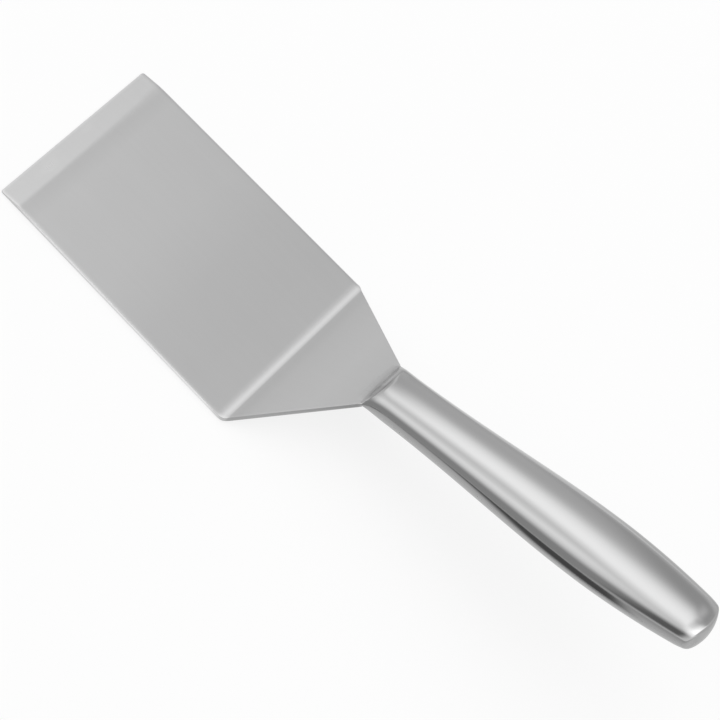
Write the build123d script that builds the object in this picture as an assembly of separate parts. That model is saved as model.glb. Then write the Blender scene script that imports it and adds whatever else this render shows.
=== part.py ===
from build123d import *
import os
from math import cos, pi, radians, sin

# All-steel grill turner: a bent sheet blade welded into a hollow handle of two pressed half shells.
# Millimetres, +Z up. The blade lies flat on Z = 0, +X runs from its front edge towards the butt of
# the handle, and the origin is at the middle of the footprint. Left and right are those of a person
# who holds the handle, so left is -Y.

# Blade: one sheet, bent up at the shoulder and bent again into the handle
sheet_thickness = 1.5
blade_length = 101.6  # front edge to the line of the first bend
blade_width = 76.2  # across the first bend
front_width = 73.6  # across the front edge
bevel_length = 7.8  # ground slope behind the front edge
edge_thickness = 0.35  # left standing at the front edge
shoulder_length = 35.8  # along the slope, first bend to the mouth of the handle
shoulder_slope = 39.1  # degrees above the blade
bend_radius = 5.5  # inside the first bend
neck_bend_radius = 4.0  # middle of the sheet at the second bend
corner_radius = 2.5  # where the sides of the blade turn into the shoulder
tang_length = 24.0  # inside the handle

# Handle: oval sections along a straight line, pressed flat at the mouth and widest near the butt
handle_length = 131.0  # mouth to the tip of the domed butt
handle_slope = 14.5  # degrees above the blade
mouth_width = 21.7
mouth_height = 4.0
front_length = 9.0  # over which the mouth opens up to the neck
front_power = 2.2  # how fast it opens
neck_width = 20.2
neck_height = 12.4
grip_width = 27.2
grip_height = 17.1
grip_place = 87.0  # mouth to the widest section
swell_power = 1.12  # how late the handle swells behind its neck
butt_width = 19.0  # before its end is domed
butt_height = 12.7
butt_edge_radius = 2.0
butt_dome_radius = 15.0
taper_power = 1.9  # how late the handle narrows behind its widest section
shell_wall = 0.55
swell_sections = 10
swell_bunching = 1.7  # draws those sections together towards the mouth
taper_sections = 5

# Joints: both seams are welded through the wall, and the mouth is closed above and below the sheet
seam_width = 0.6
tang_side_gap = 2.0  # tang to the inside of the mouth, each side
neck_weld_length = 5.3  # top weld, along the shoulder
neck_weld_hollow = 0.27  # how far its face is ground below a straight line

# Derived
tang_width = mouth_width - 2 * (shell_wall + tang_side_gap)
neck_turn = radians(shoulder_slope - handle_slope)


def along(slope):
    """Direction in the XZ plane that climbs at a slope in degrees."""
    return Vector(cos(radians(slope)), 0, sin(radians(slope)))


def above(slope):
    """Direction in the XZ plane that stands square on a slope in degrees."""
    return Vector(-sin(radians(slope)), 0, cos(radians(slope)))


bend_point = Vector(blade_length, 0, sheet_thickness / 2)
neck_point = bend_point + along(shoulder_slope) * shoulder_length
tang_end = neck_point + along(handle_slope) * tang_length

# X across, Y up from the parting line, Z along the handle from its mouth
handle_frame = Plane(origin=neck_point, x_dir=Vector(0, 1, 0), z_dir=along(handle_slope))


def upright(*corners):
    """Face in the XZ plane through the given corners."""
    return make_face(Polyline(*corners, close=True))


def widened(face, width):
    """Solid that spreads a face in the XZ plane evenly to both sides."""
    return extrude(face, amount=width / 2, dir=(0, 1, 0), both=True)


def bent_sheet():
    """Sheet of full width, bent twice, from the front edge to the end of the tang."""
    middle_radius = bend_radius + sheet_thickness / 2
    front = Vector(0, 0, sheet_thickness / 2)
    path = FilletPolyline(front, bend_point, neck_point, tang_end, radius=[middle_radius, neck_bend_radius])
    section = Plane(origin=front, x_dir=(0, 1, 0), z_dir=(1, 0, 0)) * Rectangle(blade_width, sheet_thickness)
    return sweep(section, path=path)


def plan_outline():
    """Outline of the blade and shoulder from above, as an upright prism."""
    corners = [
        (0, -front_width / 2),
        (blade_length, -blade_width / 2),
        (neck_point.X, -mouth_width / 2),
        (tang_end.X + sheet_thickness, -mouth_width / 2),
        (tang_end.X + sheet_thickness, mouth_width / 2),
        (neck_point.X, mouth_width / 2),
        (blade_length, blade_width / 2),
        (0, front_width / 2),
    ]
    face = make_face(Polyline(*corners, close=True))
    bends = face.vertices().filter_by(lambda v: abs(v.X - blade_length) < corner_radius / 10)
    face = fillet(bends, corner_radius)
    return extrude(face, amount=tang_end.Z + sheet_thickness)


def bevel_cut():
    """Wedge above the ground bevel."""
    top = 2 * sheet_thickness
    wedge = upright(
        (0, 0, edge_thickness),
        (bevel_length, 0, sheet_thickness),
        (bevel_length, 0, top),
        (-bevel_length, 0, top),
        (-bevel_length, 0, edge_thickness),
    )
    return widened(wedge, 2 * blade_width)


def tang_cut(side):
    """Block that narrows the sheet to the tang on one side, behind the mouth of the handle."""
    width = mouth_width
    place = side * (tang_width + width) / 2
    block = Box(width, grip_height, 2 * tang_length, align=(Align.CENTER, Align.CENTER, Align.MIN))
    return handle_frame.location * Pos(place, 0, 0) * block


def make_blade():
    """Blade, shoulder and tang in one sheet."""
    sheet = bent_sheet() & plan_outline()
    sheet -= bevel_cut()
    for side in (-1, 1):
        sheet -= tang_cut(side)
    return sheet


def size_at(place, mouth, neck, grip, butt):
    """Width or height of the handle at a distance from its mouth."""
    if place <= grip_place:
        swell = sin(pi / 2 * (place / grip_place) ** swell_power) ** 2
        front = max(0, 1 - place / front_length) ** front_power
        return neck + (grip - neck) * swell + (mouth - neck) * front
    share = (place - grip_place) / (handle_length - grip_place)
    return grip - (grip - butt) * share**taper_power


def dome_cut(inset):
    """What lies outside the ball that forms the domed butt, drawn in by an inset."""
    reach = 2 * butt_dome_radius
    block = Box(reach, reach, reach, align=(Align.CENTER, Align.CENTER, Align.MIN))
    ball = Rot(90, 0, 0) * Sphere(butt_dome_radius - inset)  # its poles stay clear of the butt
    return handle_frame.location * Pos(0, 0, handle_length - butt_dome_radius) * (block - ball)


def handle_solid(inset):
    """Handle through its oval sections, with a domed butt, drawn in by an inset."""
    swell = [grip_place * (i / swell_sections) ** swell_bunching for i in range(swell_sections)]
    overrun = butt_edge_radius  # past the dome, so that the ball cuts right through
    taper_step = (handle_length + overrun - grip_place) / taper_sections
    taper = [grip_place + taper_step * i for i in range(taper_sections + 1)]
    sections = []
    for place in swell + taper:
        half_width = size_at(place, mouth_width, neck_width, grip_width, butt_width) / 2 - inset
        half_height = size_at(place, mouth_height, neck_height, grip_height, butt_height) / 2 - inset
        oval = Ellipse(half_height, half_width, rotation=-90)  # starts below, clear of both seams
        sections.append(handle_frame.offset(place) * oval)
    body = loft(sections) - dome_cut(inset)
    dome = body.faces().filter_by(GeomType.SPHERE)
    return fillet(dome.edges(), butt_edge_radius - inset)


def handle_wall():
    """Closed wall of the whole handle, open at the mouth."""
    return handle_solid(0) - handle_solid(shell_wall)


def slice_of(low, high, left, right):
    """Block along the handle between two heights above the parting line and two sides."""
    size = Box(right - left, high - low, 2 * handle_length)
    return handle_frame.location * Pos((left + right) / 2, (low + high) / 2, 0) * size


def mouth_prism():
    """Oval of the mouth, drawn out towards the blade."""
    mouth = handle_frame * Ellipse(mouth_width / 2, mouth_height / 2)
    return extrude(mouth, amount=2 * shoulder_length, dir=-along(handle_slope))


def make_neck_weld_upper(blade):
    """Weld that runs from the shoulder up to the top lip of the mouth, ground hollow."""
    on_shoulder = neck_point - along(shoulder_slope) * neck_weld_length
    toe = on_shoulder + above(shoulder_slope) * sheet_thickness / 2
    lip = neck_point + above(handle_slope) * mouth_height / 2
    middle = (toe + lip) / 2 + (lip - toe).normalized().cross(Vector(0, 1, 0)) * -neck_weld_hollow
    face = make_face([ThreePointArc(toe, middle, lip), Polyline(lip, neck_point, on_shoulder, toe)])
    return (widened(face, mouth_width) - blade) & mouth_prism()


def make_neck_weld_lower(blade):
    """Weld under the shoulder, ground level with the bottom of the mouth."""
    rise = mouth_height / 2 - sheet_thickness / 2 * cos(neck_turn)
    on_shoulder = neck_point - along(shoulder_slope) * rise / sin(neck_turn)
    toe = on_shoulder - above(shoulder_slope) * sheet_thickness / 2
    lip = neck_point - above(handle_slope) * mouth_height / 2
    face = upright(toe, lip, neck_point, on_shoulder)
    return (widened(face, mouth_width) - blade) & mouth_prism()


def build():
    """Every piece by name, before the origin is moved to the middle of the footprint."""
    blade = make_blade()
    wall = handle_wall()
    reach = max(grip_width, grip_height)
    half_seam = seam_width / 2
    return {
        "blade": blade,
        "handle_upper_shell": wall & slice_of(half_seam, reach, -reach, reach),
        "handle_lower_shell": wall & slice_of(-reach, -half_seam, -reach, reach),
        "seam_weld_left": wall & slice_of(-half_seam, half_seam, -reach, 0),
        "seam_weld_right": wall & slice_of(-half_seam, half_seam, 0, reach),
        "neck_weld_upper": make_neck_weld_upper(blade),
        "neck_weld_lower": make_neck_weld_lower(blade),
    }


def centred(pieces):
    """The same pieces with the middle of their common footprint at the origin."""
    boxes = [piece.bounding_box() for piece in pieces.values()]
    middle = (min(box.min.X for box in boxes) + max(box.max.X for box in boxes)) / 2
    return {name: Pos(-middle, 0, 0) * piece for name, piece in pieces.items()}


os.makedirs("parts", exist_ok=True)
for node, piece in centred(build()).items():
    export_step(piece, f"parts/{node}.step")
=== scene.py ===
from math import atan2, cos, exp, pi, radians, sin, sqrt, tan

import bpy
from mathutils import Matrix, Vector


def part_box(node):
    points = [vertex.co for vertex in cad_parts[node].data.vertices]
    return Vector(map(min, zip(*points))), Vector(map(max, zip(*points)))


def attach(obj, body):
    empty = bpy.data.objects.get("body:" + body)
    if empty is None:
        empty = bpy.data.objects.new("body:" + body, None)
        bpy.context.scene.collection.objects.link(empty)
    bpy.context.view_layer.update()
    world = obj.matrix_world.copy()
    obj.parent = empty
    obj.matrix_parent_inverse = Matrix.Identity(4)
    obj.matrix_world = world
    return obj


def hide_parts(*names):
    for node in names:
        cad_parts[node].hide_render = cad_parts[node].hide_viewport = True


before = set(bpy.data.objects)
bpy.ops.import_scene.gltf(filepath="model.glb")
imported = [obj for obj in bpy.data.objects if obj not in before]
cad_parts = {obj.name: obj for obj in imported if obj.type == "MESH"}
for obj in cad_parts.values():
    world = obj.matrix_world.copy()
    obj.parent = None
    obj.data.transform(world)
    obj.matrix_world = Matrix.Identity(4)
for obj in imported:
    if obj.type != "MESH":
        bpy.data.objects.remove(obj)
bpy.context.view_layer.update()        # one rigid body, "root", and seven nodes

mm = 0.001

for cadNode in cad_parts.values():
    cadNode.data.materials.clear()

bladeSizes = {  # millimetres and degrees
    "thickness": 1.5,
    "length": 101.6,  # front edge to the line of the first bend
    "width": 76.18,
    "frontWidth": 73.58,
    "bevelLength": 7.8,
    "edgeThickness": 0.35,
    "bevelBlendNear": 0.10,  # how softly the bevel runs out, at each side of the blade
    "bevelBlendFar": 0.34,
    "shoulderLength": 35.8,
    "shoulderSlope": 39.1,
    "bendRadius": 5.5,  # inside
    "neckBendRadius": 4.0,  # middle of the sheet
    "cornerRadius": 2.5,
    "frontCornerRadius": 0.8,
    "edgeRadius": 0.18,
    "tangLength": 24.0,
    "tangSideGap": 2.6,  # mouth to the side of the tang
    "tangNarrowing": 1.5,  # over which the sheet narrows to the tang
}

handleSizes = {  # millimetres and degrees
    "length": 130.98,
    "slope": 14.5,
    "mouthWidth": 21.7,
    "mouthHeight": 4.0,
    "frontLength": 9.0,
    "frontPower": 2.2,
    "neckWidth": 20.2,
    "neckHeight": 12.4,
    "gripWidth": 27.2,
    "gripHeight": 17.1,
    "gripPlace": 87.0,
    "swellPower": 1.12,
    "buttWidth": 19.0,
    "buttHeight": 12.7,
    "taperPower": 1.9,
    "rollStart": 7.5,  # before the tip, from where the wall rolls in
    "rollLength": 5.0,
    "rollDepth": 0.5,
    "domeRadius": 15.0,
    "domeTurn": 50.0,  # from the tip to where the dome's own rows begin
    "edgeSoftness": 5.0,  # square millimetres: rounds the edge of the dome
    "lipLength": 3.4,  # upper shell: over which its mouth opens up
    "lipHeight": 4.8,
    "humpHeight": 0.05,  # the upper shell stands a trace proud behind its mouth
    "humpPlace": 4.0,
    "humpLength": 4.5,
    "leftDelay": 0.35,  # how much more slowly each side of that mouth opens up
    "rightDelay": 0.6,
    "noseHeight": 2.3,  # top of its lip above the parting line
    "noseRise": 1.5,  # how high its nose stands 1 mm behind the lip
    "nosePower": 0.9,
    "noseSoftness": 1.3,
    "wall": 0.55,
    "seamHalf": 0.3,
    "seamProud": 0.02,
}

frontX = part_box("blade")[0][0] / mm  # front edge, in millimetres from the origin
bendPoint = Vector((frontX + bladeSizes["length"], 0, bladeSizes["thickness"] / 2))
handleTurn = radians(handleSizes["slope"])


def along(slope):
    return Vector((cos(radians(slope)), 0, sin(radians(slope))))


def above(slope):
    return Vector((-sin(radians(slope)), 0, cos(radians(slope))))


neckPoint = bendPoint + along(bladeSizes["shoulderSlope"]) * bladeSizes["shoulderLength"]


class Wire:
    # a node socket that can be used in a formula
    def __init__(self, tree, socket=None):
        self.tree = tree
        self.socket = socket

    def node(self, kind, settings=None, inputs=None, output=0):
        made = self.tree.nodes.new(kind)
        for name, value in (settings or {}).items():
            if name == "stops":
                self.setStops(made.color_ramp, value)
            else:
                setattr(made, name, value)
        for key, value in (inputs or {}).items():
            if isinstance(value, Wire):
                self.tree.links.new(value.socket, made.inputs[key])
            else:
                made.inputs[key].default_value = value
        return Wire(self.tree, made.outputs[output] if made.outputs else None)

    def setStops(self, ramp, stops):
        while len(ramp.elements) > 1:
            ramp.elements.remove(ramp.elements[-1])
        ramp.elements[0].position = stops[0][0]
        for stop in stops[1:]:
            ramp.elements.new(stop[0])
        for element, (_, tone) in zip(ramp.elements, stops):
            element.color = (tone, tone, tone, 1)

    def math(self, operation, *values):
        return self.node("ShaderNodeMath", {"operation": operation}, dict(enumerate(values)))

    def __add__(self, other):
        return self.math("ADD", self, other)

    def __sub__(self, other):
        return self.math("SUBTRACT", self, other)

    def __mul__(self, other):
        return self.math("MULTIPLY", self, other)

    def __truediv__(self, other):
        return self.math("DIVIDE", self, other)

    def __pow__(self, other):
        return self.math("POWER", self, other)

    def __radd__(self, other):
        return self.math("ADD", other, self)

    def __rsub__(self, other):
        return self.math("SUBTRACT", other, self)

    def __rmul__(self, other):
        return self.math("MULTIPLY", other, self)

    def __rtruediv__(self, other):
        return self.math("DIVIDE", other, self)

    def sine(self):
        return self.math("SINE", self)

    def cosine(self):
        return self.math("COSINE", self)

    def absolute(self):
        return self.math("ABSOLUTE", self)

    def atLeast(self, other):
        return self.math("MAXIMUM", self, other)

    def atMost(self, other):
        return self.math("MINIMUM", self, other)

    def softLeast(self, other, width):
        # the lesser of two values, with the corner between them rounded
        gap = (width - (self - other).absolute()).atLeast(0.0)
        return self.atMost(other) - gap * gap / (width * 4)

    def fade(self, length):
        # 1 at zero, less and less further on
        return self.math("EXPONENT", 0 - self / length)

    def bell(self, middle, width):
        # 1 at the middle, falling to both sides
        return self.math("EXPONENT", 0 - ((self - middle) / width) ** 2.0)

    def rise(self, low, high):
        # 0 below low, 1 above high, smooth between
        return self.node(
            "ShaderNodeMapRange",
            {"interpolation_type": "SMOOTHSTEP"},
            {"Value": self, "From Min": low, "From Max": high},
        )

    def band(self, low, lowFull, highFull, high):
        # 1 in the middle, 0 outside low and high, smooth between
        return self.rise(low, lowFull) * (1 - self.rise(highFull, high))

    def split(self):
        return [self.node("ShaderNodeSeparateXYZ", None, {0: self}, n) for n in range(3)]


def startMaterial(name):
    material = bpy.data.materials.new(name)
    material.use_nodes = True
    tree = material.node_tree
    shader = tree.nodes["Principled BSDF"]
    shader.inputs["Metallic"].default_value = 1.0
    return material, Wire(tree), shader


def placeOf(wire, turn=0.0, stretch=(1, 1, 1)):
    # object coordinates, turned about Y and stretched
    plain = wire.node("ShaderNodeTexCoord", None, None, "Object")
    turned = wire.node("ShaderNodeMapping", None, {"Vector": plain, "Rotation": (0, turn, 0)})
    return wire.node("ShaderNodeMapping", None, {"Vector": turned, "Scale": stretch})


def noiseOf(wire, turn, stretch, detail=2.0, roughness=0.5):
    return wire.node(
        "ShaderNodeTexNoise",
        None,
        {"Vector": placeOf(wire, turn, stretch), "Scale": 1.0, "Detail": detail, "Roughness": roughness},
    )


def toneBetween(wire, low, high, share):
    return wire.node(
        "ShaderNodeMix",
        {"data_type": "RGBA"},
        {"Factor": share, 6: (*low, 1), 7: (*high, 1)},
        2,
    )


def dimmed(wire, tone, share):
    return wire.node("ShaderNodeVectorMath", {"operation": "SCALE"}, {"Vector": tone, "Scale": share})


def levelAt(wire, place, levels):
    # a level that changes with the place, from pairs of place and level
    reach = levels[-1][0]
    most = max(level for _, level in levels)
    stops = [(spot / reach, level / most) for spot, level in levels]
    return wire.node("ShaderNodeValToRGB", {"stops": stops}, {"Fac": place / reach}) * most


def finishMaterial(wire, shader, tone, roughness, height, depth):
    wire.tree.links.new(tone.socket, shader.inputs["Base Color"])
    wire.tree.links.new(roughness.socket, shader.inputs["Roughness"])
    bump = wire.node("ShaderNodeBump", None, {"Strength": 1.0, "Distance": depth, "Height": height})
    wire.tree.links.new(bump.socket, shader.inputs["Normal"])


bladeLook = {  # its patterns are in noise cells per metre along X, Y and Z
    "tone": (0.680, 0.680, 0.681),
    "grainTone": (0.715, 0.715, 0.716),
    "roughness": 0.33,
    "fineGrain": (60, 4200, 60),
    "broadGrain": (14, 620, 14),
    "haze": (26, 34, 26),
    "bevelGrain": (120, 1700, 120),
    "bevelSpots": (190, 90, 190),
    "bevelFade": 0.4,  # millimetres to each side of the line where the bevel ends
    "grainDepth": 0.004,  # millimetres
    "paintedLightAndShade": (  # painted light and shade along the blade, a painted highlight at the bend and painted shade on the shoulder, under any light: millimetres behind the front edge, share of the plain tone
        (0, 1.03), (7, 1.05), (15, 1.14), (45, 1.12), (65, 1.065), (85, 1.05), (98.6, 1.07), (99.5, 1.16),
        (100.6, 1.07), (101.4, 1.08), (102.1, 1.12), (102.9, 0.80), (104.5, 0.81), (107, 0.86), (112, 0.89),
        (118, 0.91), (128, 0.87), (140, 0.87),
    ),
}


def makeBladeSteel():
    look = bladeLook
    material, wire, shader = startMaterial("bladeSteel")
    fine = noiseOf(wire, 0, look["fineGrain"], 2.0, 0.6)
    broad = noiseOf(wire, 0, look["broadGrain"])
    haze = noiseOf(wire, 0, look["haze"], 3.0, 0.55)
    ground = noiseOf(wire, 0, look["bevelGrain"], 2.0, 0.6)
    spots = noiseOf(wire, 0, look["bevelSpots"], 1.0).rise(0.45, 0.80)
    fromFront = placeOf(wire).split()[0] / mm - frontX
    bevelEnd, fade = bladeSizes["bevelLength"], look["bevelFade"]
    bevel = 1 - fromFront.rise(bevelEnd - fade, bevelEnd + fade)
    grain = fine * 0.55 + broad * 0.45
    tone = toneBetween(wire, look["tone"], look["grainTone"], grain + bevel * spots * 0.9)
    # painted light and shade along the blade, by distance behind its front edge
    tone = dimmed(wire, tone, levelAt(wire, fromFront, look["paintedLightAndShade"]))
    roughness = look["roughness"] - 0.05 + grain * 0.06 + haze * 0.05 - bevel * (spots * 0.03 + 0.03)
    height = grain + bevel * ground * 0.8
    finishMaterial(wire, shader, tone, roughness, height, look["grainDepth"] * mm)
    return material


def placeAlongHandle(wire):
    # millimetres behind the mouth, and across to the right
    x, y, z = placeOf(wire).split()
    behind = (x / mm - neckPoint.x) * cos(handleTurn) + (z / mm - neckPoint.z) * sin(handleTurn)
    return behind, y / mm


handleLook = {  # its patterns are in noise cells per metre along the handle, across it and square to both
    "tone": (0.612, 0.612, 0.613),
    "grainTone": (0.640, 0.640, 0.641),
    "roughness": 0.11,
    "fineGrain": (45, 3600, 3600),
    "broadGrain": (10, 420, 420),
    "haze": (22, 40, 40),
    "grainDepth": 0.0015,  # millimetres
    "neckShade": 0.55,  # painted shade, under any light: its top is darker behind the mouth, so that the highlight there starts dimmer
    "neckShadeStart": (0.4, 4.4),  # millimetres behind the mouth
    "neckShadeLength": 13,
    "neckShadeMiddle": -1.5,
    "neckShadeWidth": 2.9,
    "lipShade": 0.28,  # painted shade as well, at the left of its mouth
    "lipShadeEnd": (1, 5),
    "lipShadeSides": (-9.4, -7.6, -3.8, -1.8),
}


def makeHandleSteel():
    look = handleLook
    material, wire, shader = startMaterial("handleSteel")
    fine = noiseOf(wire, handleTurn, look["fineGrain"], 2.0, 0.6)
    broad = noiseOf(wire, handleTurn, look["broadGrain"])
    haze = noiseOf(wire, handleTurn, look["haze"], 3.0, 0.55)
    grain = fine * 0.6 + broad * 0.4
    place, right = placeAlongHandle(wire)
    # painted shade on the top of the handle behind its mouth
    neckShade = place.rise(*look["neckShadeStart"]) * place.fade(look["neckShadeLength"])
    neckShade = neckShade * right.bell(look["neckShadeMiddle"], look["neckShadeWidth"])
    # painted shade at the left of the mouth
    lipShade = (1 - place.rise(*look["lipShadeEnd"])) * right.band(*look["lipShadeSides"])
    tone = toneBetween(wire, look["tone"], look["grainTone"], grain)
    tone = dimmed(wire, tone, 1 - neckShade * look["neckShade"] - lipShade * look["lipShade"])
    roughness = look["roughness"] - 0.03 + grain * 0.04 + haze * 0.04
    finishMaterial(wire, shader, tone, roughness, grain, look["grainDepth"] * mm)
    return material


weldLook = {  # its patterns are counted as on the handle
    "tone": (0.560, 0.560, 0.561),
    "grainTone": (0.680, 0.680, 0.681),
    "pits": (900, 900, 900),
    "neckWeld": {"roughness": 0.50, "lines": (1500, 90, 1500), "depth": 0.004, "creaseShade": 0.2},
    "seam": {"roughness": 0.26, "lines": (60, 2600, 2600), "depth": 0.003, "creaseShade": 0.0},
    "creaseShadePlace": (-1.4, -0.3),  # painted shade: a crease is darker, at the lip and on its left
    "creaseShadeSides": (-4, 4),
}


def makeWeldSteel(kind):
    look, own = weldLook, weldLook[kind]
    material, wire, shader = startMaterial(kind + "Steel")
    lines = noiseOf(wire, handleTurn, own["lines"], 2.0, 0.6)
    pits = noiseOf(wire, handleTurn, look["pits"]).rise(0.60, 0.72)
    tone = toneBetween(wire, look["grainTone"], look["tone"], lines * 0.6 + pits * 0.4)
    place, right = placeAlongHandle(wire)
    # painted shade in the crease at the lip, on its left
    atLip = place.rise(*look["creaseShadePlace"]) * (1 - right.rise(*look["creaseShadeSides"]))
    tone = dimmed(wire, tone, 1 - atLip * own["creaseShade"])
    roughness = own["roughness"] - 0.06 + lines * 0.12 + pits * 0.08
    finishMaterial(wire, shader, tone, roughness, lines - pits, own["depth"] * mm)
    return material


bladeSteel = makeBladeSteel()
handleSteel = makeHandleSteel()
neckWeldSteel = makeWeldSteel("neckWeld")
seamSteel = makeWeldSteel("seam")
print("materials made")


def addPiece(name, mesh, node, material):
    piece = bpy.data.objects.new(name, mesh)
    bpy.context.scene.collection.objects.link(piece)
    mesh.materials.clear()
    mesh.materials.append(material)
    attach(piece, "root")
    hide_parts(node)
    return piece


def meshFrom(name, points, faces, smoothAngle=40):
    mesh = bpy.data.meshes.new(name)
    mesh.from_pydata([tuple(p * mm) for p in points], [], faces)
    mesh.validate()
    mesh.shade_smooth()
    mesh.set_sharp_from_angle(angle=radians(smoothAngle))
    return mesh


def loft(loops):
    # quads between closed loops of equal length, with flat ends
    count = len(loops[0])
    points = [p for loop in loops for p in loop]
    faces = []
    for row in range(len(loops) - 1):
        for i in range(count):
            a = row * count + i
            b = row * count + (i + 1) % count
            faces.append((a, a + count, b + count, b))
    faces.append(tuple(range(count)))
    faces.append(tuple(reversed(range(len(points) - count, len(points)))))
    return points, faces


def smoothLess(a, b, width):
    # the lesser of two heights, with the corner between them rounded
    gap = max(width - abs(a - b), 0)
    return min(a, b) - gap * gap / (4 * width)


def sheetStations():
    # walks the middle of the sheet: point and slope
    size = bladeSizes
    noseTurns = (8, 30, 60, 90)  # degrees round the front edge
    bevelRows, bevelOverrun = 26, 1.2
    straightStep = 2.2
    tangRows = 8
    half = size["thickness"] / 2
    nose = size["edgeThickness"] / 2
    bevelRun = size["bevelLength"] + bevelOverrun - nose
    rows = [(Vector((frontX + nose * (1 - cos(radians(turn))), 0, half)), 0.0) for turn in noseTurns]
    for i in range(1, bevelRows + 1):
        rows.append((Vector((frontX + nose + bevelRun * i / bevelRows, 0, half)), 0.0))
    bends = (  # corner, slope before and after it, radius, rows
        (bendPoint, 0.0, size["shoulderSlope"], size["bendRadius"] + half, 14),
        (neckPoint, size["shoulderSlope"], handleSizes["slope"], size["neckBendRadius"], 8),
    )
    for corner, before, after, radius, cuts in bends:
        place = rows[-1][0]
        reach = radius * tan(radians(abs(after - before)) / 2)
        start = corner - along(before) * reach
        count = max(4, round((start - place).length / straightStep))
        rows += [(place.lerp(start, i / count), before) for i in range(1, count + 1)]
        side = 1 if after > before else -1
        centre = start + above(before) * radius * side
        for i in range(1, cuts + 1):
            slope = before + (after - before) * i / cuts
            rows.append((centre - above(slope) * radius * side, slope))
    place = rows[-1][0]
    tangEnd = neckPoint + along(handleSizes["slope"]) * size["tangLength"]
    rows += [(place.lerp(tangEnd, i / tangRows), handleSizes["slope"]) for i in range(1, tangRows + 1)]
    return rows


def halfWidthAt(x):
    # half the width of the sheet, seen from above
    size = bladeSizes
    fromFront = x - frontX
    front, back, mouth = size["frontWidth"] / 2, size["width"] / 2, handleSizes["mouthWidth"] / 2
    grow = (back - front) / size["length"]
    fall = (mouth - back) / (neckPoint.x - frontX - size["length"])
    turnIn, turnOut = atan2(grow, 1), atan2(fall, 1)
    radius = size["cornerRadius"]
    reach = radius * tan((turnIn - turnOut) / 2)
    startX = size["length"] - reach * cos(turnIn)
    endX = size["length"] + reach * cos(turnOut)
    if fromFront <= startX:
        width = front + grow * fromFront
    elif fromFront < endX:
        centreX = startX + radius * sin(turnIn)
        centreY = front + grow * startX - radius * cos(turnIn)
        width = centreY + sqrt(radius ** 2 - (fromFront - centreX) ** 2)
    elif x <= neckPoint.x:
        width = back + fall * (fromFront - size["length"])
    else:
        width = mouth - size["tangSideGap"] * min(1, (x - neckPoint.x) / size["tangNarrowing"])
    corner = size["frontCornerRadius"]
    if fromFront < corner:
        width -= corner - sqrt(corner ** 2 - (corner - fromFront) ** 2)
    return width


def sheetHeights(x, across):
    # bottom and top of the sheet, from its middle
    size = bladeSizes
    half = size["thickness"] / 2
    fromFront = x - frontX
    nose = size["edgeThickness"] / 2
    pastBevel = size["bevelLength"] + 4
    if fromFront < nose:
        lift = sqrt(max(nose ** 2 - (nose - fromFront) ** 2, 0))
        return nose - lift - half, nose + lift - half
    if fromFront > pastBevel:
        return -half, half
    share = (across + size["width"] / 2) / size["width"]
    blend = size["bevelBlendNear"] + (size["bevelBlendFar"] - size["bevelBlendNear"]) * share ** 3
    climb = (size["thickness"] - size["edgeThickness"]) / size["bevelLength"]
    top = smoothLess(size["edgeThickness"] + climb * fromFront, size["thickness"], blend)
    return -half, top - half


def roundedSide(inner, low, high, radius):
    # from the top of the sheet round its side to its bottom
    rounds = 4
    turns = [pi / 2 * i / rounds for i in range(rounds + 1)]
    upper = [(inner + radius * sin(turn), high - radius + radius * cos(turn)) for turn in turns[1:]]
    lower = [(inner + radius * cos(turn), low + radius - radius * sin(turn)) for turn in turns[:-1]]
    return upper + lower


def makeBlade():
    cells = 64  # across each face
    loops = []
    for middle, slope in sheetStations():
        low, high = sheetHeights(middle.x, 0)
        radius = min(bladeSizes["edgeRadius"], (high - low) * 0.49)  # under half of the thin front
        inner = halfWidthAt(middle.x) - radius
        across = [inner * (2 * i / cells - 1) for i in range(cells + 1)]
        right = roundedSide(inner, *sheetHeights(middle.x, inner), radius)
        left = roundedSide(inner, *sheetHeights(middle.x, -inner), radius)
        loop = [(y, sheetHeights(middle.x, y)[1]) for y in across]
        loop += right
        loop += [(y, low) for y in reversed(across)]
        loop += [(-y, height) for y, height in reversed(left)]
        loops.append([middle + Vector((0, y, 0)) + above(slope) * height for y, height in loop])
    return loft(loops)


addPiece("bladeSheet", meshFrom("bladeSheet", *makeBlade()), "blade", bladeSteel)
print("blade made")


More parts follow.
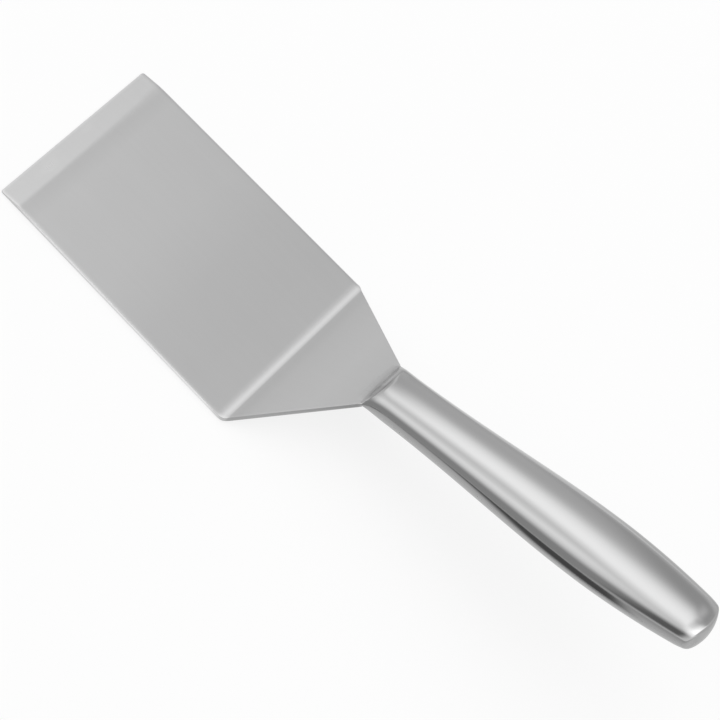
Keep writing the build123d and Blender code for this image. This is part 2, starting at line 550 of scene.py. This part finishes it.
def makeHandleTree():
    # one strip of the handle's wall between two lines along it, from the mouth to the tip of the dome
    tree = bpy.data.node_groups.new("handleStrip", "GeometryNodeTree")
    tree.interface.new_socket("Geometry", in_out="OUTPUT", socket_type="NodeSocketGeometry")
    kinds = dict.fromkeys(handleInputs(0, 0, 0, 0, 0, False), "NodeSocketFloat")
    kinds.update({"Rows": "NodeSocketInt", "Columns": "NodeSocketInt", "Material": "NodeSocketMaterial"})
    for name, kind in kinds.items():
        tree.interface.new_socket(name, in_out="INPUT", socket_type=kind)
    given = tree.nodes.new("NodeGroupInput")
    take = {name: Wire(tree, given.outputs[name]) for name in kinds}
    wire = Wire(tree)
    grid = wire.node(
        "GeometryNodeMeshGrid",
        None,
        {"Size X": 1.0, "Size Y": 1.0, "Vertices X": take["Rows"], "Vertices Y": take["Columns"]},
    )
    gridX, gridY = wire.node("GeometryNodeInputPosition").split()[:2]
    rowShare, columnShare = gridX + 0.5, gridY + 0.5

    # rows: the body first, then the dome, which is counted in its angle from the tip
    bodyShare = 0.78  # of all rows
    rowBunching = 1.6  # draws the rows together towards the mouth
    domeTurn = radians(handleSizes["domeTurn"])
    radius = take["Dome Radius"]
    join = take["Length"] - radius * (1 - cos(domeTurn))
    bodyRun = (rowShare / bodyShare).atMost(1.0) ** rowBunching
    domeRun = (rowShare - bodyShare).atLeast(0.0) / (1 - bodyShare)
    domeAngle = (1 - domeRun) * domeTurn
    place = bodyRun * join + (domeAngle.cosine() - cos(domeTurn)) * radius

    # how far the mouth, the swell, the taper and the rolled end have gone at each row
    swell = ((place / take["Grip Place"]).atMost(1.0) ** take["Swell Power"] * (pi / 2)).sine() ** 2.0
    front = (1 - place / take["Front Length"]).atLeast(0.0) ** take["Front Power"]
    lip = (1 - place / take["Lip Length"]).atLeast(0.0) ** take["Front Power"]
    slowLip = (1 - place / (take["Lip Length"] * 2)).atLeast(0.0) ** take["Front Power"]
    past = (place - take["Grip Place"]).atLeast(0.0)
    taper = (past / (take["Length"] - take["Grip Place"])) ** take["Taper Power"]
    rollRun = (place - take["Length"] + take["Roll Start"]).atLeast(0.0) / take["Roll Length"]
    roll = rollRun * rollRun * take["Roll Depth"]
    hump = take["Hump Height"] * place.bell(take["Hump Place"], take["Hump Length"])

    def halfSize(side, opening):
        mouth, neck = take["Mouth " + side], take["Neck " + side]
        grip, butt = take["Grip " + side], take["Butt " + side]
        full = neck + (grip - neck) * swell + (mouth - neck) * opening - (grip - butt) * taper
        return full / 2 + take["Proud"] - roll

    # columns: turns around the handle, between the sides of its seams
    halfWidth = halfSize("Width", front)
    halfHeight = halfSize("Height", lip) + hump
    seamTurn = wire.math("ARCSINE", take["Seam Half"] / halfHeight)
    startTurn = take["From Half Turns"] * pi + take["From Seam Side"] * seamTurn
    endTurn = take["To Half Turns"] * pi + take["To Seam Side"] * seamTurn
    turn = startTurn + columnShare * (endTurn - startTurn)
    leftward = turn.cosine()
    across = halfWidth * leftward

    # both sides of the mouth open up more slowly than its top
    delay = leftward.atLeast(0.0) ** 2.0 * take["Left Delay"]
    delay = delay + (0 - leftward).atLeast(0.0) ** 2.0 * take["Right Delay"]
    fullHeight = halfSize("Height", lip + (slowLip - lip) * delay) + hump * (1 - delay)
    upward = fullHeight * turn.sine()

    # a ball cuts off the butt, and the nose of the upper shell is pressed flat
    reach = wire.math("SQRT", across * across + upward * upward)
    onBody = wire.math("LESS_THAN", domeRun, 0.0001)
    ball = radius * domeAngle.sine() / reach + onBody * 9  # far out, so that it cuts nothing there
    shrink = ball.softLeast(1.0, take["Edge Softness"] / (reach * reach)).atLeast(0.0)
    nose = take["Nose Height"] + take["Nose Rise"] * mm * (place / mm) ** take["Nose Power"]
    up = (upward * shrink).softLeast(nose, take["Nose Softness"])
    slopeCos, slopeSin = take["Slope"].cosine(), take["Slope"].sine()
    spot = wire.node(
        "ShaderNodeCombineXYZ",
        None,
        {
            "X": take["Mouth X"] + place * slopeCos - up * slopeSin,
            "Y": 0 - across * shrink,
            "Z": take["Mouth Z"] + place * slopeSin + up * slopeCos,
        },
    )
    shaped = wire.node("GeometryNodeSetPosition", None, {"Geometry": grid, "Position": spot})
    tipGap = 0.002 * mm  # closes the tip of the dome
    merged = wire.node("GeometryNodeMergeByDistance", None, {"Geometry": shaped, "Distance": tipGap})
    real = wire.node("GeometryNodeRealizeInstances", None, {"Geometry": merged})
    painted = wire.node("GeometryNodeSetMaterial", None, {"Geometry": real, "Material": take["Material"]})
    wire.node("NodeGroupOutput", None, {0: painted})
    return tree


def handleInputs(fromTurns, fromSide, toTurns, toSide, proud, upper):
    # the tree's sizes by name, in metres and radians
    size = handleSizes
    nosed = upper and toTurns > fromTurns  # the seams follow the upper shell, without its nose
    return {
        "Mouth X": neckPoint.x * mm,
        "Mouth Z": neckPoint.z * mm,
        "Slope": handleTurn,
        "Length": size["length"] * mm,
        "Mouth Width": size["mouthWidth"] * mm,
        "Mouth Height": size["lipHeight" if upper else "mouthHeight"] * mm,
        "Front Length": size["frontLength"] * mm,
        "Front Power": size["frontPower"],
        "Lip Length": size["lipLength" if upper else "frontLength"] * mm,
        "Left Delay": size["leftDelay"] if upper else 0.0,
        "Right Delay": size["rightDelay"] if upper else 0.0,
        "Hump Height": size["humpHeight"] * mm if upper else 0.0,
        "Hump Place": size["humpPlace"] * mm,
        "Hump Length": size["humpLength"] * mm,
        "Nose Height": (size["noseHeight"] if nosed else 1000) * mm,
        "Nose Rise": size["noseRise"],
        "Nose Power": size["nosePower"],
        "Nose Softness": size["noseSoftness"] * mm,
        "Neck Width": size["neckWidth"] * mm,
        "Neck Height": size["neckHeight"] * mm,
        "Grip Width": size["gripWidth"] * mm,
        "Grip Height": size["gripHeight"] * mm,
        "Grip Place": size["gripPlace"] * mm,
        "Swell Power": size["swellPower"],
        "Butt Width": size["buttWidth"] * mm,
        "Butt Height": size["buttHeight"] * mm,
        "Taper Power": size["taperPower"],
        "Roll Start": size["rollStart"] * mm,
        "Roll Length": size["rollLength"] * mm,
        "Roll Depth": size["rollDepth"] * mm,
        "Dome Radius": size["domeRadius"] * mm,
        "Edge Softness": size["edgeSoftness"] * mm * mm,
        "Seam Half": size["seamHalf"] * mm,
        "From Half Turns": fromTurns,
        "From Seam Side": fromSide,
        "To Half Turns": toTurns,
        "To Seam Side": toSide,
        "Proud": proud * mm,
    }


handleTree = makeHandleTree()


def makeStrip(name, node, material, columns, turns, proud, upper):
    rows = 240
    smoothAngle = 50
    holder = bpy.data.objects.new(name + "Holder", bpy.data.meshes.new(name + "Holder"))
    bpy.context.scene.collection.objects.link(holder)
    modifier = holder.modifiers.new("strip", "NODES")
    modifier.node_group = handleTree
    values = {**handleInputs(*turns, proud, upper), "Rows": rows, "Columns": columns, "Material": material}
    for item in handleTree.interface.items_tree:
        if item.in_out == "INPUT":
            modifier[item.identifier] = values[item.name]
    wall = holder.modifiers.new("wall", "SOLIDIFY")
    wall.thickness = handleSizes["wall"] * mm
    wall.offset = -1
    wall.use_even_offset = True
    bpy.context.view_layer.update()
    shown = holder.evaluated_get(bpy.context.evaluated_depsgraph_get())
    mesh = bpy.data.meshes.new_from_object(shown)
    mesh.name = name
    bpy.data.objects.remove(holder)
    mesh.shade_smooth()
    mesh.set_sharp_from_angle(angle=radians(smoothAngle))
    return addPiece(name, mesh, node, material)


def makeShell(name, node, turns, upper):
    return makeStrip(name, node, handleSteel, 97, turns, 0.0, upper)


def makeSeam(name, node, turns):
    return makeStrip(name, node, seamSteel, 5, turns, handleSizes["seamProud"], True)


# turns: half turns and side of the seam where a strip starts, then the same where it ends
makeShell("handleUpperShell", "handle_upper_shell", (0, 1, 1, -1), True)
makeShell("handleLowerShell", "handle_lower_shell", (1, 1, 2, -1), False)
makeSeam("seamWeldLeft", "seam_weld_left", (0, -1, 0, 1))
makeSeam("seamWeldRight", "seam_weld_right", (1, -1, 1, 1))
print("handle made")

neckWeldSizes = {  # millimetres
    "length": 3.9,  # upper weld: from its toe on the shoulder to the lip of the handle, at the middle
    "lengthSkew": 1.2,  # longer by this at its left end, shorter at its right end
    "sideGap": 0.25,  # to the side of the mouth
    "step": 0.3,  # how far its left half stays below the lip
    "stepEnd": 1.5,  # right of the middle
    "stepFade": 7.0,
    "fullness": 0.75,  # 0 follows the shoulder for longest, 1 is straight
    "sunk": 0.01,  # into the shoulder at its toe
    "depth": 0.3,  # of its toe, under its face
    "tuck": 0.8,  # runs on under the lip
    "tuckDepth": 0.4,
    "edgeFade": 0.9,  # over which it thins out at both sides
    "edgeLeast": 0.05,  # share of its height that is left there
    "lowerLength": 3.0,
    "lowerSideGap": 0.15,
    "lowerDepth": 0.4,
}


def lipHeight(across):
    # top of the handle's lip above the parting line
    size = handleSizes
    rightward = across / (size["mouthWidth"] / 2)
    delay = rightward ** 2 * size["leftDelay" if rightward < 0 else "rightDelay"]
    hump = size["humpHeight"] * exp(-(size["humpPlace"] / size["humpLength"]) ** 2)
    oval = (size["lipHeight"] / 2 + hump * (1 - delay)) * sqrt(max(1 - rightward ** 2, 0))
    return smoothLess(oval, size["noseHeight"], size["noseSoftness"])


def makeUpperNeckWeld():
    # ground smear of weld metal that climbs from the shoulder to the lip of the upper shell
    size = neckWeldSizes
    slope = bladeSizes["shoulderSlope"]
    half = bladeSizes["thickness"] / 2
    halfMouth = handleSizes["mouthWidth"] / 2
    columns, rows = 72, 26
    loops = []
    for i in range(columns + 1):
        side = cos(pi * i / columns)  # from the right, so that the faces point outwards
        across = side * (halfMouth - size["sideGap"])
        left = min(max((size["stepEnd"] - across) / size["stepFade"], 0), 1)
        edge = min(max((1 - abs(side)) * halfMouth / size["edgeFade"], size["edgeLeast"]), 1)
        lip = neckPoint + above(handleSizes["slope"]) * (lipHeight(across) - size["step"] * left)
        reach = (lip - neckPoint).dot(along(slope))
        climb = max((lip - neckPoint).dot(above(slope)) - half, 0.02) * edge
        length = size["length"] - size["lengthSkew"] * side
        loop = []
        for j in range(rows + 1):
            share = j / rows
            run = share * (length + reach)
            lift = climb * (size["fullness"] * share ** 2 + (1 - size["fullness"]) * share ** 4)
            middle = neckPoint + along(slope) * (run - length)
            loop.append(middle + above(slope) * (half + lift - size["sunk"]) + Vector((0, across, 0)))
        loop.append(loop[-1] + along(handleSizes["slope"]) * size["tuck"] * edge)
        loop.append(loop[-1] - above(slope) * (climb + size["tuckDepth"]))
        loop.append(loop[0] - above(slope) * size["depth"])
        loops.append(loop)
    return loft(loops)


def makeLowerNeckWeld():
    # fills the wedge under the shoulder, level with the bottom of the mouth
    size = neckWeldSizes
    slope, handleSlope = bladeSizes["shoulderSlope"], handleSizes["slope"]
    half = bladeSizes["thickness"] / 2
    halfMouth, halfOpening = handleSizes["mouthWidth"] / 2, handleSizes["mouthHeight"] / 2
    least = half * 0.9  # height of the lip at which the wedge runs out
    columns = 60
    loops = []
    for i in range(columns + 1):
        y = (halfMouth - size["lowerSideGap"]) * cos(pi * i / columns)
        lip = halfOpening * sqrt(1 - (y / halfMouth) ** 2)
        fullness = max((lip - least) / (halfOpening - least), 0.04)
        toe = neckPoint - along(slope) * size["lowerLength"] * fullness - above(slope) * half
        corners = (
            neckPoint - above(handleSlope) * size["lowerDepth"],
            neckPoint - above(handleSlope) * lip,
            toe,
            toe + above(slope) * size["depth"],
        )
        loops.append([corner + Vector((0, y, 0)) for corner in corners])
    return loft(loops)


upperWeld = meshFrom("neckWeldUpper", *makeUpperNeckWeld())
addPiece("neckWeldUpper", upperWeld, "neck_weld_upper", neckWeldSteel)
lowerWeld = meshFrom("neckWeldLower", *makeLowerNeckWeld())
addPiece("neckWeldLower", lowerWeld, "neck_weld_lower", neckWeldSteel)
print("neck welds made")


def addPlane(name, half, height, material):
    mesh = bpy.data.meshes.new(name)
    corners = [(-half, -half, height), (half, -half, height), (half, half, height), (-half, half, height)]
    mesh.from_pydata(corners, [], [(0, 1, 2, 3)])
    mesh.materials.append(material)
    plane = bpy.data.objects.new(name, mesh)
    bpy.context.scene.collection.objects.link(plane)
    return plane


floorLook = {
    "halfWidth": 8.0,  # metres
    "height": -0.4,  # millimetres
    "tone": 0.93,
    "mottle": 0.01,  # tone either way
    "mottleCells": (3, 3, 3),  # per metre
    "roughness": 0.85,
    "glow": 0.78,  # share of plain white that the camera sees in it
}


def makeFloor():
    look = floorLook
    material, wire, shader = startMaterial("paleFloor")
    shader.inputs["Metallic"].default_value = 0.0
    shader.inputs["Roughness"].default_value = look["roughness"]
    shader.inputs["Specular IOR Level"].default_value = 0.0
    dark, pale = look["tone"] - look["mottle"], look["tone"] + look["mottle"]
    tone = toneBetween(wire, (dark,) * 3, (pale,) * 3, noiseOf(wire, 0, look["mottleCells"]))
    wire.tree.links.new(tone.socket, shader.inputs["Base Color"])
    glow = wire.node("ShaderNodeEmission", None, {"Strength": 1.0})
    camera, glossy, transmitted = [
        wire.node("ShaderNodeLightPath", None, None, kind)
        for kind in ("Is Camera Ray", "Is Glossy Ray", "Is Transmission Ray")
    ]
    seen = (camera + glossy + transmitted) * look["glow"]
    shown = wire.node("ShaderNodeMixShader", None, {0: seen, 1: Wire(wire.tree, shader.outputs[0]), 2: glow})
    wire.tree.links.new(shown.socket, wire.tree.nodes["Material Output"].inputs["Surface"])
    addPlane("studioFloor", look["halfWidth"], look["height"] * mm, material)


groundLook = {  # levels of light, by millimetres behind the front edge and to the right of the middle
    "halfWidth": 6.0,  # metres
    "height": -0.2,  # millimetres
    "far": 0.40,
    "near": 0.30,  # added close to the middle
    "reach": 110.0,  # over which that fades
    "shoulder": {"glow": 0.14, "behind": (105, 140, 180, 220), "right": (10, 50)},
    "handle": {"glow": 0.12, "behind": (105, 140), "right": (10, 50)},
    "butt": {"glow": -0.08, "behind": (262, 300), "right": (-60, -10)},
    "blade": {"glow": 0.08, "behind": (130, 100), "right": (0, -120)},
    "bladeEdge": {"glow": 0.5, "behind": (104, 92), "right": (-95, -50, -39, -37)},
    "farRight": 0.15,
    "farRightStart": (120, 600),
    "wedge": 0.08,  # level in a dark wedge left of the handle
    "wedgeFront": (170, 208),
    "wedgeBack": (235, 259),
    "wedgeTip": -50.0,
    "wedgeSlant": 0.44,
    "wedgeNear": (-25, -80),
    "wedgeFar": (-1100, -250),
}


def within(place, limits):
    # two limits make a rise, or a fall where the second is lower, and four make a band
    return place.rise(*limits) if len(limits) == 2 else place.band(*limits)


def makeGroundCard():
    # a grey card that hides the floor from the metal only, with its patches set for the main view
    look = groundLook
    material = bpy.data.materials.new("groundCard")
    material.use_nodes = True
    material.node_tree.nodes.clear()
    wire = Wire(material.node_tree)
    x, y = placeOf(wire).split()[:2]
    behind, right = x / mm - frontX, y / mm
    ground = look["far"] + look["near"] * right.absolute().fade(look["reach"])
    for name in ("shoulder", "handle", "butt", "blade", "bladeEdge"):
        patch = look[name]
        ground = ground + within(behind, patch["behind"]) * within(right, patch["right"]) * patch["glow"]
    ground = ground + right.rise(*look["farRightStart"]) * look["farRight"]
    wedge = (behind - (right - look["wedgeTip"]) * look["wedgeSlant"]).rise(*look["wedgeFront"])
    wedge = wedge * (1 - behind.rise(*look["wedgeBack"]))
    wedge = wedge * right.rise(*look["wedgeNear"]) * right.rise(*look["wedgeFar"])
    level = ground + wedge * (look["wedge"] - ground)
    glow = wire.node("ShaderNodeEmission", None, {"Strength": level})
    wire.node("ShaderNodeOutputMaterial", None, {"Surface": glow})
    card = addPlane("groundCard", look["halfWidth"], look["height"] * mm, material)
    card.visible_camera = False
    card.visible_diffuse = False
    card.visible_shadow = False
    card.visible_transmission = False


worldLook = {  # x is 1 straight behind the butt and -1 straight ahead of the blade
    "lean": 66,  # degrees: the panels run askew, nearer to the top over the blade
    "panels": (  # degrees from the horizon on the left, over the top, to the one on the right, level of light
        (0, 0.84), (40, 0.84), (49, 0.79), (57, 1.02), (66, 1.27), (74, 1.29), (83, 1.23), (92, 1.10),
        (101, 0.88), (109, 0.70), (117, 0.60), (128, 0.55), (140, 0.55), (155, 0.57), (178, 0.59),
    ),
    "lowFront": 0.80,  # level ahead of the blade, instead of the panels
    "lowFrontX": (-0.50, -0.70),
    "strip": {"glow": 0.22, "x": (-0.05, -0.42), "middle": 57, "spread": 10},
    "hotSpot": {"glow": 0.75, "x": (0.06, 0.28, 0.5, 0.7), "start": (52, 70), "end": (84, 102), "slant": 36},
    "front": {"glow": 0.12, "x": (-0.42, -0.52), "around": (118, 126), "height": (0.38, 0.50, 0.76, 0.84)},
    "behind": {"glow": 0.17, "x": (-0.29, -0.12, 0.1, 0.4), "around": (98, 126, 156, 180)},  # taken away
    "overhead": {"glow": 0.26, "x": (-0.09, 0.0, 0.1, 0.25), "around": (58, 80, 94, 110)},  # taken away
    "flat": {"glow": 1, "x": (-0.16, -0.01, 0.01, 0.16), "around": (100, 124, 130, 156)},
    "flatGlow": 0.03,  # there, in place of what is taken away behind
    "near": (0.32, 0.13),  # dark panel low on the left, at its front and back end
    "nearTurn": (-0.14, 0.0),  # x where the one becomes the other
    "nearTop": (26, 48),
    "nearClimb": 6,  # degrees by which its top is higher at its back end
    "nearClimbX": (-0.30, 0.0),
    "nearFoot": {"glow": 0.30, "x": (-0.14, 0.0), "around": (13, 4)},
    "nearFootBack": {"glow": 0.12, "x": (0.0, 0.08), "around": (17, 6)},
    "buttSide": 0.75,  # level that the near side of the butt sees instead
    "buttSideX": (0.12, 0.38),
}


def makeWorld():
    # soft panels as seen from the object, set for the main view
    look = worldLook
    world = bpy.data.worlds.new("studioWorld")
    bpy.context.scene.world = world
    world.use_nodes = True
    world.node_tree.nodes.clear()
    wire = Wire(world.node_tree)
    x, y, z = wire.node("ShaderNodeTexCoord", None, None, "Generated").split()
    side = wire.math("ARCTAN2", z, 0 - y) * (180 / pi)
    lean = side + x * look["lean"]

    def patch(name, around):
        return within(x, look[name]["x"]) * within(around, look[name]["around"]) * look[name]["glow"]

    panels = levelAt(wire, lean, look["panels"])
    panels = panels + x.rise(*look["lowFrontX"]) * (look["lowFront"] - panels)
    strip, hot = look["strip"], look["hotSpot"]
    stripGlow = x.rise(*strip["x"]) * side.bell(strip["middle"], strip["spread"]) * strip["glow"]
    hotEnd = 1 - (side - x * hot["slant"]).rise(*hot["end"])
    hotGlow = side.rise(*hot["start"]) * hotEnd * x.band(*hot["x"]) * hot["glow"]
    front = patch("front", side) * z.band(*look["front"]["height"])
    flat = patch("flat", side)
    behind = patch("behind", lean) * (1 - flat) - flat * look["flatGlow"]
    lit = panels + stripGlow + hotGlow + front - behind - patch("overhead", side)
    darkFront, darkBack = look["near"]
    dark = darkFront + x.rise(*look["nearTurn"]) * (darkBack - darkFront)
    dark = dark + patch("nearFoot", side) + patch("nearFootBack", side)
    dark = dark + x.rise(*look["buttSideX"]) * (look["buttSide"] - dark)
    climbed = side - x.rise(*look["nearClimbX"]) * look["nearClimb"]
    level = dark + climbed.rise(*look["nearTop"]) * (lit - dark)
    back = wire.node("ShaderNodeBackground", None, {"Color": (1, 1, 1, 1), "Strength": level})
    wire.node("ShaderNodeOutputWorld", None, {"Surface": back})


fillSizes = {  # metres
    "place": (-0.3, 0.5, 1.6),
    "width": 2.4,
    "level": 0.20,  # extra light on the floor, as a share of full light
    "reached": 0.44,  # share of its light that reaches the floor
}


def makeFill():
    # lights the floor softly and leaves no mark in the metal
    size = fillSizes
    lamp = bpy.data.lights.new("fill", "AREA")
    lamp.size = size["width"]
    lamp.energy = pi * lamp.size ** 2 * size["level"] / size["reached"]
    holder = bpy.data.objects.new("fill", lamp)
    holder.location = size["place"]
    holder.rotation_euler = Vector(size["place"]).to_track_quat("Z", "Y").to_euler()
    holder.visible_glossy = False
    bpy.context.scene.collection.objects.link(holder)


cameraSizes = {  # millimetres and degrees, measured from the middle of the front edge
    "aim": (118.77, 18.11, 0.0),
    "distance": 1100.83,
    "tilt": 36.0,  # off the vertical
    "roll": 45.63,
    "lens": 167.25,
    "sensor": 36,
}


def makeCamera():
    size = cameraSizes
    lens = bpy.data.cameras.new("camera")
    lens.sensor_width = size["sensor"]
    lens.lens = size["lens"]
    lens.clip_start, lens.clip_end = 0.05, 50
    tilt, roll = radians(size["tilt"]), radians(size["roll"])
    back = Vector((0, -sin(tilt), cos(tilt)))
    level = Vector((0, cos(tilt), sin(tilt)))
    right = Vector((1, 0, 0)) * cos(roll) + level * sin(roll)
    up = level * cos(roll) - Vector((1, 0, 0)) * sin(roll)
    aim = Vector(size["aim"]) + Vector((frontX, 0, 0))
    spot = (aim + back * size["distance"]) * mm
    camera = bpy.data.objects.new("camera", lens)
    camera.matrix_world = Matrix((
        (right.x, up.x, back.x, spot.x),
        (right.y, up.y, back.y, spot.y),
        (right.z, up.z, back.z, spot.z),
        (0, 0, 0, 1),
    ))
    bpy.context.scene.collection.objects.link(camera)
    bpy.context.scene.camera = camera


makeFloor()
makeGroundCard()
makeWorld()
makeFill()
makeCamera()
bpy.context.scene.view_settings.view_transform = "Standard"
print("stage made")
